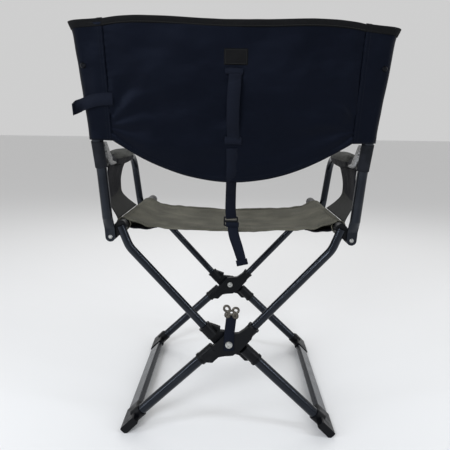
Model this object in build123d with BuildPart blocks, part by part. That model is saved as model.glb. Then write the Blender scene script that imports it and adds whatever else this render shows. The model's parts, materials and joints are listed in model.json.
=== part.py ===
from build123d import *
from math import atan2, cos, degrees, radians, sin, sqrt, tan
import os

# A folding camp chair with a fabric seat and back: two crossing tube frames, joined by a pivot bolt at
# the rear and one at the front, carry the seat between their upper rails. A side frame of back post and
# arm stands on each upper rail, hinged on rivets, and the back sling hangs between the two posts.
# X is across the chair, +Y is the way a sitter faces, Z is up, and all sizes are millimetres.
# Frame "a" carries the right seat rail (+X) and the left floor rail; frame "b" is its mirror image.

# ---- driving dimensions ------------------------------------------------------------------------
hub_spacing = 440  # rear pivot to front pivot
hub_height = 218
rail_half, rail_height = 243, 485  # seat rail, from the middle and from the floor
hinge_half, hinge_height = 265, 462  # rivets that the side frames turn on
frame_angle, arm_rise = 45, 2.6  # slope of the legs, and how much steeper the upper arms are
arm_drop = 17  # how far an upper arm passes below the pivot
leg_lift, foot_lift = 13, 20.9  # how far a leg passes above the pivot, at the pivot and at the foot
knee_half = 225  # where an upper arm turns steeper
foot_reach = 302.6  # pivot to floor rail, along the leg
frame_tube, leg_tube, post_tube, wall = 19, 24, 22, 1.2  # tube diameters and their wall
splay, low_lean, high_lean = 3.4, 5, 14  # degrees: side frames outward, post below and above its bend
bend_height, post_top = 608, 880
arm_height, arm_toe = 625, 11  # armrest tube, and how much wider it stands at the front
support_y = 366  # arm's front support, from the rear pivot
foot_overhang, back_overhang = 33, 110  # how far feet and back reach behind the rear pivot
webbing, webbing_thick = 25, 2.4
cloth = 4
gap = 0.3  # clearance between pieces that move on each other
snug = 0.05  # clearance between pieces fixed in each other
arm_bend, post_bend, support_bend = 60, 150, 42  # radii that the tubes are bent to

rear_y = -(hub_spacing + foot_overhang - back_overhang) / 2  # puts the origin under the middle
front_y = rear_y + hub_spacing
SIDES = {"a": 1, "b": -1}

os.makedirs("parts", exist_ok=True)


def save(part, name):
    """Writes one sub-part under its node's name."""
    part.label = name
    export_step(part, f"parts/{name}.step")


def along(reach, lift, side):
    """X and Z of a point given along and across a crossing tube, counted from the pivot."""
    a = radians(frame_angle)
    return side * (reach * cos(a) - lift * sin(a)), hub_height + reach * sin(a) + lift * cos(a)


def on_arm(reach, side):
    """X and Z of a point on an upper arm's axis, counted from the pivot."""
    a = radians(frame_angle + arm_rise)
    return side * (reach * cos(a) + arm_drop * sin(a)), hub_height + reach * sin(a) - arm_drop * cos(a)


def on_leg(reach, side):
    """X and Z of a point on a leg's axis, counted from the pivot."""
    return along(-reach, leg_lift + (foot_lift - leg_lift) * reach / foot_reach, side)


def knee(side):
    """X and Z of the point where an upper arm turns steeper."""
    a = radians(frame_angle + arm_rise)
    return on_arm((knee_half - arm_drop * sin(a)) / cos(a), side)


def tube_through(points, radii, outer, inner=0):
    """A round tube along straight runs with rounded corners."""
    with BuildPart() as tube:
        with BuildLine() as path:
            if radii:
                FilletPolyline(*points, radius=radii)
            else:
                Line(*points)
        start = path.wire()
        with BuildSketch(Plane(origin=start @ 0, z_dir=start % 0)):
            Circle(outer)
            if inner:
                Circle(inner, mode=Mode.SUBTRACT)
        sweep(path=start)
    return tube


def bar_along_y(y0, y1, x, z):
    """A plane at y1, with x as X and y as Z, and the length to extrude a sketch on it back to y0."""
    return Plane(origin=(x, y1, z), x_dir=(1, 0, 0), z_dir=(0, -1, 0)), y1 - y0


def splay_x(z, side):
    """X of the back post's axis at a height."""
    return side * (hinge_half + tan(radians(splay)) * (z - hinge_height))


post_base_y = rear_y - post_tube / 2 - 1
post_bend_y = post_base_y - tan(radians(low_lean)) * (bend_height - hinge_height)


def post_y(z):
    """Y of the back post's axis at a height."""
    if z < bend_height:
        return post_base_y - tan(radians(low_lean)) * (z - hinge_height)
    return post_bend_y - tan(radians(high_lean)) * (z - bend_height)


# ---- crossing frames ---------------------------------------------------------------------------
socket_start, socket_end = 36, 67  # arm socket of a hub bracket, from the pivot
leg_socket_end = 78
arm_socket_r, leg_socket_r = 13.5, 14
lip_high, lip_long = 1.2, 5  # rib round a socket's mouth
plate_thick = 12
bolt_r = 4
rail_socket = 26  # depth of a corner bracket along the seat rail
lobe_thick = 10
ring_r, lobe_r = 13, 11
rivet_r = 3
shoe_long, shoe_short, shoe_length = 43, 19, 78
shoe_socket, shoe_end_wall = 12, 3  # depth of the shoe's leg socket, and the wall at its outer end
rail_long, rail_short = 38, 15
corner_r = 4  # rounded corners of the floor rail and its shoes


def frame_arm(y, side):
    """Upper arm: up from the hub socket, then steeper to the seat rail."""
    foot, bend = on_arm(socket_start + 3, side), knee(side)
    points = [(foot[0], y, foot[1]), (bend[0], y, bend[1]), (side * rail_half, y, rail_height + 1)]
    return tube_through(points, [arm_bend], frame_tube / 2, frame_tube / 2 - wall)


def frame_leg(y, side):
    """Lower leg: from the hub socket down to the floor rail's shoe."""
    top, end = on_leg(socket_start + 4, side), on_leg(foot_reach - rail_long / 2 - 3, side)
    return tube_through([(top[0], y, top[1]), (end[0], y, end[1])], [], leg_tube / 2, leg_tube / 2 - wall)


def hub_plate_outline(side, lug):
    """Outline of a hub bracket's plate, with the stop lug that only the front frame's plate has."""
    lugs = [(50, 3), (37, 9)] if lug else []
    outline = [(60, -2), *lugs, (33, 2), (9, 22), (-34, 21), (-66, 23), (-70, 4), (-60, -7), (-40, -7)]
    outline += [(-28, -15), (-14, -27), (8, -30), (44, -28), (60, -20)]
    return [along(reach, lift, side) for reach, lift in outline]


def hub_bracket(y, side):
    """Moulded hub bracket: a flat plate round the pivot bolt with a tube socket at each end."""
    near = side > 0
    plate_back = y - 1 if near else y + 1 + plate_thick
    with BuildPart() as bracket:
        with BuildSketch(Plane(origin=(0, plate_back, 0), x_dir=(1, 0, 0), z_dir=(0, -1, 0))) as plate:
            with BuildLine():
                Polyline(*hub_plate_outline(side, not near), close=True)
            make_face()
            fillet(plate.vertices(), 1.5)
        extrude(amount=plate_thick)
        sockets = (
            (on_arm, socket_end, frame_tube / 2, arm_socket_r),
            (on_leg, leg_socket_end, leg_tube / 2, leg_socket_r),
        )
        for member, end, bore, outer in sockets:
            x0, z0 = member(socket_start, side)
            x1, z1 = member(end, side)
            mouth = Plane(origin=(x1, y, z1), z_dir=(x0 - x1, 0, z0 - z1))
            with BuildSketch(mouth):
                Circle(outer)
            extrude(amount=end - socket_start)
            with BuildSketch(mouth):
                Circle(bore + snug)
            extrude(amount=end - socket_start - 2, mode=Mode.SUBTRACT)
            with BuildSketch(mouth):
                Circle(outer + lip_high)
                Circle(outer - 1, mode=Mode.SUBTRACT)
            extrude(amount=lip_long)
        with BuildSketch(Plane(origin=(0, y + 20, hub_height), x_dir=(1, 0, 0), z_dir=(0, -1, 0))):
            Circle(bolt_r + gap)
        extrude(amount=40, mode=Mode.SUBTRACT)
    return bracket


def seat_rail(side):
    """Straight tube under the seat's edge."""
    y0, y1 = rear_y + frame_tube / 2 + 3, front_y - frame_tube / 2 - 3
    end = (side * rail_half, y0, rail_height)
    return tube_through([end, (side * rail_half, y1, rail_height)], [], frame_tube / 2, frame_tube / 2 - wall)


def corner_bracket(y, facing, ring_length, lobe_offset, side):
    """Moulded corner: a ring on the rail's end, a half channel for the arm's top, and a lobe out to the
    rivet. It starts at the arm's plane y and runs inward along the rail, which is facing (+1 or -1)."""
    near, far = sorted((y, y + facing * ring_length))
    lobe_near, lobe_far = sorted((y + facing * lobe_offset, y + facing * (lobe_offset + lobe_thick)))
    rail_start = y + facing * (frame_tube / 2 + 3)
    with BuildPart() as corner:
        plane, length = bar_along_y(near, far, side * rail_half, rail_height)
        with BuildSketch(plane):
            Circle(ring_r)
        extrude(amount=length)
        with BuildSketch(Plane(origin=(0, lobe_far, 0), x_dir=(1, 0, 0), z_dir=(0, -1, 0))):
            with Locations((side * rail_half, rail_height)):
                Circle(ring_r)
            with Locations((side * hinge_half, hinge_height)):
                Circle(lobe_r)
            make_hull()
        extrude(amount=lobe_far - lobe_near)
        reach = (rail_start - 1, far + 5) if facing > 0 else (near - 5, rail_start + 1)
        plane, length = bar_along_y(*reach, side * rail_half, rail_height)
        with BuildSketch(plane):
            Circle(frame_tube / 2 + snug)
        extrude(amount=length, mode=Mode.SUBTRACT)
        bend_x, bend_z = knee(side)
        top = Vector(side * rail_half, y, rail_height + 1.5)
        with BuildSketch(Plane(origin=top, z_dir=Vector(bend_x, y, bend_z) - top)):
            Circle(frame_tube / 2 + 0.1)
        extrude(amount=40, mode=Mode.SUBTRACT)
        with BuildSketch(Plane(origin=(side * hinge_half, lobe_near - 1, hinge_height), z_dir=(0, 1, 0))):
            Circle(rivet_r + gap)
        extrude(amount=lobe_thick + 2, mode=Mode.SUBTRACT)
    return corner


def floor_plane(y, side):
    """Plane across the floor rail: its x runs along the leg, and its z runs forward."""
    x, z = on_leg(foot_reach, side)
    a = radians(frame_angle)
    return Plane(origin=(x, y, z), x_dir=(side * cos(a), 0, sin(a)), z_dir=(0, 1, 0))


def floor_rail(side):
    """Flat tube that joins a frame's two legs along the floor."""
    length = hub_spacing + 2 * (foot_overhang - shoe_end_wall)
    with BuildPart() as rail:
        with BuildSketch(floor_plane(rear_y - foot_overhang + shoe_end_wall, side)):
            RectangleRounded(rail_long, rail_short, corner_r)
            RectangleRounded(rail_long - 2 * wall, rail_short - 2 * wall, corner_r - wall, mode=Mode.SUBTRACT)
        extrude(amount=length)
    return rail


def foot_shoe(y, facing, side):
    """Moulded shoe on a floor rail's end, with a socket for the leg and a narrow flat sole."""
    outer_end = y - facing * foot_overhang
    start = min(outer_end, outer_end + facing * shoe_length)
    open_end = 5  # how far the hollow runs out past the shoe's inner end
    hollow = start + shoe_end_wall - gap / 2 if facing > 0 else start - open_end
    leg_x, leg_z = on_leg(foot_reach, side)
    top_x, top_z = on_leg(foot_reach - shoe_long / 2 - shoe_socket, side)
    with BuildPart() as shoe:
        with BuildSketch(floor_plane(start, side)):
            RectangleRounded(shoe_long, shoe_short, corner_r)
        extrude(amount=shoe_length)
        with BuildSketch(Plane(origin=(top_x, y, top_z), z_dir=(leg_x - top_x, 0, leg_z - top_z))):
            Circle(leg_tube / 2 + 2.5)
        extrude(amount=2 * shoe_socket)
        with BuildSketch(floor_plane(hollow, side)):
            RectangleRounded(rail_long + 2 * snug, rail_short + 2 * snug, corner_r)
        extrude(amount=shoe_length + open_end - shoe_end_wall + gap / 2, mode=Mode.SUBTRACT)
        with BuildSketch(Plane(origin=(top_x, y, top_z), z_dir=(leg_x - top_x, 0, leg_z - top_z))):
            Circle(leg_tube / 2 + snug)
        extrude(amount=shoe_socket + 0.5, mode=Mode.SUBTRACT)
        split(bisect_by=Plane.XY, keep=Keep.TOP)
    return shoe


def seat_sleeve(side):
    """Hem of the seat cloth, wrapped round the rail."""
    y0, y1 = rear_y + rail_socket + 2, rear_y + support_y - 12
    with BuildPart() as sleeve:
        plane, length = bar_along_y(y0, y1, side * rail_half, rail_height)
        with BuildSketch(plane):
            Circle(frame_tube / 2 + cloth + 0.5)
            Circle(frame_tube / 2 + 0.3, mode=Mode.SUBTRACT)
        extrude(amount=length)
    return sleeve


for name, side in SIDES.items():
    save(frame_arm(rear_y, side).part, f"rear_arm_{name}")
    save(frame_arm(front_y, side).part, f"front_arm_{name}")
    save(frame_leg(rear_y, side).part, f"rear_leg_{name}")
    save(frame_leg(front_y, side).part, f"front_leg_{name}")
    save(hub_bracket(rear_y, side).part, f"rear_hub_bracket_{name}")
    save(hub_bracket(front_y, side).part, f"front_hub_bracket_{name}")
    save(seat_rail(side).part, f"seat_rail_{name}")
    save(corner_bracket(rear_y, 1, rail_socket, 0, side).part, f"rear_corner_{name}")
    front_ring = hub_spacing - support_y - 10
    save(corner_bracket(front_y, -1, front_ring, front_ring - lobe_thick, side).part, f"front_corner_{name}")
    save(floor_rail(side).part, f"floor_rail_{name}")
    save(foot_shoe(rear_y, 1, side).part, f"rear_foot_{name}")
    save(foot_shoe(front_y, -1, side).part, f"front_foot_{name}")
    save(seat_sleeve(side).part, f"seat_sleeve_{name}")


# ---- side frames: back post, arm and what they carry --------------------------------------------
tongue_thick, tongue_root = 6, 18  # flattened tube end, and where it starts to widen, above the rivet
post_round, support_round = 44, 38  # above the rivet: where the post and the arm's support are round
rivet_head_r = 4.6
grip_bottom, grip_top, grip_r = 617, 671, 12.6
sleeve_bottom, hem_corner, hem_middle = 673, 886, 897  # heights on the back cloth
seam_half = 243  # seam between the back panel and a post's sleeve
pad_start, pad_end, pad_half, pad_tall = 72, 290, 14, 14.5  # ends from the rear pivot, half width and height
pad_raise, pad_tip = 4, 0.72  # pad's middle above the tube's, and its ends' share of its size
panel_clear = 30  # rear edge of the side panel, from the rear pivot
stud_height = 816


def flat_end(side, tube_r, tongue_back, tube_start, direction):
    """A tube's flattened end: a rounded tongue on the rivet that widens to the round tube."""
    root_z = hinge_height + tongue_root
    root_share = tongue_root / (tube_start[2] - hinge_height)
    root_x = side * hinge_half + (tube_start[0] - side * hinge_half) * root_share
    with BuildPart() as tongue:
        with BuildSketch(Plane(origin=(0, tongue_back, 0), x_dir=(1, 0, 0), z_dir=(0, -1, 0))):
            with Locations((side * hinge_half, hinge_height)):
                Circle(tube_r)
            with Locations((root_x, root_z)):
                Rectangle(2 * tube_r, 1)
            make_hull()
        extrude(amount=tongue_thick)
        with BuildSketch(Plane.XY.offset(root_z)):
            with Locations((root_x, tongue_back - tongue_thick / 2)):
                Rectangle(2 * tube_r, tongue_thick)
        with BuildSketch(Plane(origin=Vector(*tube_start) + direction.normalized(), z_dir=direction)):
            Circle(tube_r)
        loft()
        with BuildSketch(Plane(origin=(side * hinge_half, tongue_back + 1, hinge_height), z_dir=(0, -1, 0))):
            Circle(rivet_r + snug)
        extrude(amount=tongue_thick + 2, mode=Mode.SUBTRACT)
    return tongue


def back_post(side):
    """Post from the rear rivet to the top of the back, bent above the seat."""
    start_z = hinge_height + post_round
    points = [(splay_x(z, side), post_y(z), z) for z in (start_z, bend_height, post_top)]
    tube = tube_through(points, [post_bend], post_tube / 2, post_tube / 2 - wall)
    lower = Vector(*points[1]) - Vector(*points[0])
    tongue = flat_end(side, post_tube / 2, rear_y - 1, points[0], lower)
    return tube.part + tongue.part


arm_front_x = splay_x(arm_height, 1) + arm_toe
arm_rear_y = post_y(arm_height) + post_tube / 2 + 6


def arm_x(y):
    """X of the arm's axis at a distance along it, for the right side."""
    share = (y - arm_rear_y) / (rear_y + support_y - arm_rear_y)
    return splay_x(arm_height, 1) + arm_toe * share


def arm_tube(side):
    """Arm and its front support: one bent tube from the post to the front rivet."""
    start_z = hinge_height + support_round
    rise = (start_z - hinge_height) / (arm_height - hinge_height)
    start = (side * (hinge_half + (arm_front_x - hinge_half) * rise), rear_y + support_y, start_z)
    corner = (side * arm_front_x, rear_y + support_y, arm_height)
    end = (splay_x(arm_height, side), arm_rear_y, arm_height)
    tube = tube_through([start, corner, end], [support_bend], frame_tube / 2, frame_tube / 2 - wall)
    tongue_back = front_y - hub_spacing + support_y + frame_tube / 2 - 0.5
    tongue = flat_end(side, frame_tube / 2, tongue_back, start, Vector(*corner) - Vector(*start))
    return tube.part + tongue.part


def post_collar(z0, z1, inner, outer, side):
    """A round sleeve on the post's upper, straight run."""
    ends = [(splay_x(z, side), post_y(z), z) for z in (z0, z1)]
    return tube_through(ends, [], outer, inner)


def arm_socket(side):
    """Moulded socket that holds the arm's rear end against the post."""
    depth, end_wall = 24, 9
    mouth_y = arm_rear_y + depth
    mouth_point = Vector(side * arm_x(mouth_y), mouth_y, arm_height)
    inward = Vector(side * arm_x(arm_rear_y), arm_rear_y, arm_height) - mouth_point
    mouth = Plane(origin=mouth_point, z_dir=inward)
    with BuildPart() as socket:
        with BuildSketch(mouth):
            Circle(frame_tube / 2 + 2.6)
        extrude(amount=depth + end_wall)
        with BuildSketch(mouth):
            Circle(frame_tube / 2 + snug)
        extrude(amount=depth + 0.1, mode=Mode.SUBTRACT)
        keep_out = post_collar(bend_height + 1, arm_height + 40, 0, grip_r + 1.2, side)
        add(keep_out.part, mode=Mode.SUBTRACT)
    return socket.part.solids().sort_by(Axis.Y)[-1]


def arm_pad(side):
    """Soft round pad on the arm tube, domed at both ends."""
    y0, y1 = rear_y + pad_start, rear_y + pad_end
    with BuildPart() as pad:
        for y, grow in ((y0, pad_tip), (y0 + 8, 1), (y1 - 12, 1), (y1, pad_tip)):
            with BuildSketch(Plane(origin=(side * arm_x(y), y, arm_height + pad_raise), z_dir=(0, 1, 0))):
                Ellipse(pad_half * grow, pad_tall * grow)
        loft(ruled=True)
        ends = [(side * arm_x(y), y, arm_height) for y in (arm_rear_y, rear_y + support_y)]
        add(tube_through(ends, [], frame_tube / 2 + 0.3).part, mode=Mode.SUBTRACT)
    return pad.part


def side_panel(side):
    """Cloth that hangs from the arm to the seat rail, with both free edges curved in."""
    top = Vector(side * (arm_x(rear_y + 180) + 2), rear_y, arm_height - pad_tall - 2)
    bottom = Vector(side * (rail_half + 9), rear_y, rail_height + 17)
    up = (top - bottom).normalized()
    height = (top - bottom).length
    plane = Plane(origin=bottom, x_dir=(0, 1, 0), z_dir=Vector(0, 1, 0).cross(up))
    with BuildPart() as panel:
        with BuildSketch(plane):
            with BuildLine():
                Line((panel_clear, 0), (245, 0))
                Spline((245, 0), (190, height * 0.25), (157, height * 0.55), (222, height))
                Line((222, height), (panel_clear - 6, height))
                Line((panel_clear - 6, height), (panel_clear, 0))
            make_face()
        extrude(amount=cloth / 2, both=True)
    return panel.part


def arm_tab(side):
    """Textile gusset between the post's grip and the arm."""
    low = arm_height + frame_tube / 2 + 4
    with BuildPart() as tab:
        with BuildSketch(Plane(origin=(side * 268, rear_y, 0), x_dir=(0, 1, 0), z_dir=(side, 0, 0))) as face:
            with BuildLine():
                outline = [(-7, 668), (10, 668), (60, low + 6), (60, low), (2, low)]
                Polyline(*[(y, side * z) for y, z in outline], close=True)
            make_face()
            fillet(face.vertices(), 2)
        extrude(amount=cloth / 2, both=True)
    return tab.part


def back_plane(offset=0.0):
    """The leaning plane of the back cloth; its x is X, its y runs up the lean, its z points rearward."""
    a = radians(high_lean)
    origin = Vector(0, post_bend_y, bend_height) + Vector(0, -cos(a), -sin(a)) * offset
    return Plane(origin=origin, x_dir=(1, 0, 0), z_dir=(0, -cos(a), -sin(a)))


def up_back(z):
    """Distance up the leaning plane from the post's bend to a height."""
    return (z - bend_height) / cos(radians(high_lean))


panel_rear = post_tube / 2 + 1.5  # back cloth's rear face, behind the posts' axes


def back_sleeve(side):
    """The back cloth's sleeve: a pocket round the post, sewn flat along its inner seam."""
    a = radians(high_lean)
    low, high = sleeve_bottom, hem_corner - 3
    with BuildPart() as sleeve:
        for z in (low, high):
            x = splay_x(z, side)
            with BuildSketch(Plane(origin=(x, post_y(z), z), x_dir=(1, 0, 0), z_dir=(0, -sin(a), cos(a)))):
                Circle(post_tube / 2 + 2)
                with Locations((side * (seam_half + 2.3) - x, -panel_rear + 2)):
                    Circle(2)
                make_hull()
        loft()
        below = low - 5
        foot = (splay_x(below, side), post_y(below), below)
        with BuildSketch(Plane(origin=foot, z_dir=post_direction(side))):
            Circle(post_tube / 2 + 0.4)
        extrude(amount=up_back(post_top) - up_back(below) + 1.5, mode=Mode.SUBTRACT)
    return sleeve.part


def post_direction(side):
    """Direction of the post's upper run."""
    ends = [Vector(splay_x(z, side), post_y(z), z) for z in (bend_height + 40, post_top)]
    return (ends[1] - ends[0]).normalized()


def sleeve_stud(side):
    """Screw stud that pins the back cloth to the post."""
    origin = Vector(splay_x(stud_height, side), post_y(stud_height), stud_height)
    outward = back_plane().z_dir
    with BuildPart() as stud:
        with BuildSketch(Plane(origin=origin + outward * (panel_rear + 0.8), z_dir=outward)):
            Circle(5.5)
        extrude(amount=2.4, taper=35)
    return stud.part


def rivet(y_head, length, side):
    """A domed rivet along Y from y_head forward."""
    with BuildPart() as pin:
        with BuildSketch(Plane(origin=(side * hinge_half, y_head, hinge_height), z_dir=(0, 1, 0))):
            Circle(rivet_r)
        extrude(amount=length)
        for y, direction in ((y_head, -1), (y_head + length, 1)):
            with BuildSketch(Plane(origin=(side * hinge_half, y, hinge_height), z_dir=(0, direction, 0))):
                Circle(rivet_head_r)
            extrude(amount=2, taper=40)
    return pin.part


for name, side in SIDES.items():
    post, arm = back_post(1), arm_tube(1)
    if side < 0:
        post, arm = mirror(post, about=Plane.YZ), mirror(arm, about=Plane.YZ)
    save(post, f"back_post_{name}")
    save(arm, f"arm_tube_{name}")
    save(arm_socket(side), f"arm_socket_{name}")
    save(post_collar(grip_bottom, grip_top, post_tube / 2 + 0.3, grip_r, side).part, f"post_grip_{name}")
    save(arm_pad(side), f"arm_pad_{name}")
    save(side_panel(side), f"side_panel_{name}")
    save(arm_tab(side), f"arm_tab_{name}")
    save(back_sleeve(side), f"back_sleeve_{name}")
    save(sleeve_stud(side), f"sleeve_stud_{name}")
    tongue_and_lobe = tongue_thick + lobe_thick + 2
    rear_rivet = rivet(rear_y - tongue_thick - 1.5, tongue_and_lobe, side)
    front_rivet = rivet(rear_y + support_y + frame_tube / 2 - tongue_thick - 1, tongue_and_lobe, side)
    save(Compound(children=[rear_rivet, front_rivet]), f"hinge_rivets_{name}")


# ---- back sling between the sleeves --------------------------------------------------------------
panel_low, seam_low = 589, 667  # bottom of the back panel in the middle and at its seams
hem_tall, hem_seam = 12, 890
handle_top, handle_low, handle_bulge = 812, 684, 18
buckle_top, buckle_low, buckle_y = 508, 486, rear_y + 17


def sling_point(x, z):
    """A point of the leaning plane, given by X and height."""
    return x, up_back(z)


def back_panel():
    """Back cloth from seam to seam, cut in a deep curve along its bottom."""
    half = seam_half - 0.4
    with BuildPart() as panel:
        with BuildSketch(back_plane(panel_rear - cloth)):
            with BuildLine():
                low_points = [(half, seam_low), (186, 638), (0, panel_low), (-186, 638), (-half, seam_low)]
                Spline(*[sling_point(x, z) for x, z in low_points])
                Line(sling_point(-half, seam_low), sling_point(-half, hem_seam - hem_tall))
                high_points = [(-half, hem_seam), (0, hem_middle), (half, hem_seam)]
                ThreePointArc(*[sling_point(x, z - hem_tall) for x, z in high_points])
                Line(sling_point(half, hem_seam - hem_tall), sling_point(half, seam_low))
            make_face()
        extrude(amount=cloth)
    return panel.part


def top_hem():
    """Bound hem along the top of the back panel."""
    half = seam_half - 0.4
    with BuildPart() as hem:
        with BuildSketch(back_plane(panel_rear - cloth - 1)):
            with BuildLine():
                ends = [(-half, hem_seam), (0, hem_middle), (half, hem_seam)]
                ThreePointArc(*[sling_point(x, z - hem_tall + 0.2) for x, z in ends])
                Line(sling_point(half, hem_seam - hem_tall + 0.2), sling_point(half, hem_seam))
                ThreePointArc(*[sling_point(x, z) for x, z in ends])
                Line(sling_point(-half, hem_seam), sling_point(-half, hem_seam - hem_tall + 0.2))
            make_face()
        extrude(amount=cloth + 2)
    return hem.part


def strap_along(points, radii, width):
    """Flat webbing that follows a path in the chair's middle plane."""
    with BuildPart() as strap:
        with BuildLine() as path:
            FilletPolyline(*points, radius=radii)
        start = path.wire()
        with BuildSketch(Plane(origin=start @ 0, x_dir=(1, 0, 0), z_dir=start % 0)):
            Rectangle(width, webbing_thick)
        sweep(path=start)
    return strap.part


def on_back(z, out):
    """Middle-plane point at a height, out behind the back panel's rear face."""
    plane = back_plane(panel_rear + out)
    return plane.origin + plane.y_dir * up_back(z)


def carry_handle():
    """Webbing handle: sewn down at both ends, standing off between them."""
    flat = webbing_thick / 2 + 0.2
    rise = 22  # height over which the handle leaves the cloth
    points = [on_back(handle_top + 30, flat), on_back(handle_top, flat)]
    points += [on_back(handle_top - rise, handle_bulge), on_back(handle_low + rise, handle_bulge)]
    points += [on_back(handle_low, flat), on_back(handle_low - 16, flat)]
    return strap_along(points, [10, 14, 14, 10], webbing)


def lumbar_strap():
    """Webbing from the back panel down to the buckle at the seat's rear edge."""
    flat = webbing_thick / 2 + 0.2
    points = [on_back(650, flat), on_back(panel_low - 4, flat), Vector(0, buckle_y, buckle_top + 1)]
    return strap_along(points, [30], webbing - 2)


def closure_strap():
    """Loose strap, sewn at one end, that lies across sleeve b and past its edge."""
    half, outer = webbing / 2, splay_x(745, 1) + 26
    with BuildPart() as strap:
        with BuildSketch(back_plane(panel_rear + 1.2)):
            with BuildLine():
                ends = [(-232, 752), (-266, 750), (-outer, 738)]
                Polyline(
                    *[sling_point(x, z + half) for x, z in ends],
                    *[sling_point(x, z - half) for x, z in reversed(ends)],
                    close=True,
                )
            make_face()
        extrude(amount=webbing_thick)
    return strap.part


save(back_panel(), "back_panel")
save(top_hem(), "top_hem")
save(carry_handle(), "carry_handle")
save(lumbar_strap(), "lumbar_strap")
save(closure_strap(), "closure_strap")


# ---- middle: pivots, seat cloth and the keeper ---------------------------------------------------
stack = plate_thick + 1  # pivot plane to the outer face of a hub plate
tab_thick, tab_tall, tab_middle = 4.5, 66, 18  # keeper's webbing, and its middle above the bolt
clip_rise, clip_hole, clip_lobe = 78, 4, 8  # keeper's clip: above the bolt, and radii of its lobes
washer_r, washer_thick = 8, 1.5
spacer_r, spacer_half = 10, 0.7  # washer between the two hub plates
head_r, head_tall, hex_r, hex_deep = 6.5, 4, 3, 2.4  # bolt head and its recess
nut_r, nut_height = 7.5, 6


def turned(y, profile):
    """A turned piece on a pivot's axis: (distance from y, radius) steps along +Y."""
    with BuildPart() as piece:
        for (near, radius), (far, _) in zip(profile, profile[1:]):
            plane, length = bar_along_y(y + near, y + far, 0, hub_height)
            with BuildSketch(plane):
                Circle(radius)
            extrude(amount=length)
    return piece.part


def hub_bolt(y, under_head):
    """Button-head bolt with a hex recess, head towards the rear."""
    head = -under_head - washer_thick - gap
    bolt = turned(y, [(head - head_tall, head_r), (head, bolt_r), (stack + nut_height + 3, bolt_r)])
    with BuildPart() as finished:
        add(bolt)
        with BuildSketch(Plane(origin=(0, y + head - head_tall, hub_height), z_dir=(0, 1, 0))):
            RegularPolygon(hex_r, 6)
        extrude(amount=hex_deep, mode=Mode.SUBTRACT)
    return finished.part


def ring(y, near, far, outer, inner):
    """A washer-like ring round a pivot."""
    with BuildPart() as washer:
        plane, length = bar_along_y(y + near, y + far, 0, hub_height)
        with BuildSketch(plane):
            Circle(outer)
            Circle(inner, mode=Mode.SUBTRACT)
        extrude(amount=length)
    return washer.part


def hub_nut(y):
    """Lock nut on the front end of a pivot bolt."""
    with BuildPart() as nut:
        with BuildSketch(Plane(origin=(0, y + stack + 0.4, hub_height), z_dir=(0, 1, 0))):
            RegularPolygon(nut_r, 6)
            Circle(bolt_r + 0.05, mode=Mode.SUBTRACT)
        extrude(amount=nut_height)
    return nut.part


def keeper_tab():
    """Stiff doubled webbing that stands up from the rear pivot bolt."""
    with BuildPart() as tab:
        origin = (0, rear_y - stack - gap, hub_height)
        with BuildSketch(Plane(origin=origin, x_dir=(1, 0, 0), z_dir=(0, -1, 0))):
            with Locations((0, tab_middle)):
                Rectangle(webbing - 1, tab_tall)
            Circle(bolt_r + 0.1, mode=Mode.SUBTRACT)
        extrude(amount=tab_thick)
    return tab.part


def keeper_clip():
    """Flat metal clip with four rounded lobes, each with a hole."""
    with BuildPart() as clip:
        origin = (4, rear_y - stack - 2.8, hub_height + clip_rise)
        with BuildSketch(Plane(origin=origin, x_dir=(1, 0, 0), z_dir=(0, -1, 0))):
            lobes = GridLocations(2.5 * clip_lobe, 2 * clip_lobe, 2, 2)
            with lobes:
                Circle(clip_lobe)
            Rectangle(2.5 * clip_lobe, 1.5 * clip_lobe)
            with lobes:
                Circle(clip_hole, mode=Mode.SUBTRACT)
        extrude(amount=2.5)
    return clip.part


def seat_sling():
    """Seat cloth between the rails' hems, sagging a little in the middle."""
    half, edge_z, middle_z = rail_half - frame_tube / 2 - cloth - 1.2, rail_height + 5, rail_height - 13
    rear_inset, front_inset = 30, 14  # free edges, in from the rear pivot and from the arms' supports
    origin = (0, rear_y + support_y - front_inset, 0)
    with BuildPart() as sling:
        with BuildSketch(Plane(origin=origin, x_dir=(1, 0, 0), z_dir=(0, -1, 0))):
            with BuildLine():
                ThreePointArc((-half, edge_z), (0, middle_z), (half, edge_z))
                Line((half, edge_z), (half, edge_z - cloth))
                ThreePointArc((half, edge_z - cloth), (0, middle_z - cloth), (-half, edge_z - cloth))
                Line((-half, edge_z - cloth), (-half, edge_z))
            make_face()
        extrude(amount=support_y - front_inset - rear_inset)
    return sling.part


def strap_buckle():
    """Ladder-lock buckle: a flat frame with two slots."""
    with BuildPart() as buckle:
        origin = (0, buckle_y + 3, (buckle_top + buckle_low) / 2)
        with BuildSketch(Plane(origin=origin, x_dir=(1, 0, 0), z_dir=(0, -1, 0))):
            RectangleRounded(webbing + 7, buckle_top - buckle_low, 3)
            with GridLocations(0, 10, 1, 2):
                Rectangle(webbing + 0.5, 5, mode=Mode.SUBTRACT)
        extrude(amount=5)
    return buckle.part


def strap_tail():
    """Loose end of the strap, hanging aslant behind the seat's edge and folded double at its tip."""
    length, doubled, tail_slant = 86, 14, 15
    with BuildPart() as tail:
        upright = Plane(origin=(2, rear_y + 11, buckle_low + 2), x_dir=(1, 0, 0), z_dir=(0, -1, 0))
        plane = upright.rotated((0, 0, tail_slant))
        with BuildSketch(plane):
            with Locations((0, -length / 2)):
                Rectangle(webbing - 2, length)
        extrude(amount=webbing_thick)
        with BuildSketch(plane):
            with Locations((0, doubled / 2 - length - 1)):
                Rectangle(webbing - 2, doubled)
        extrude(amount=2 * webbing_thick)
    return tail.part


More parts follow.
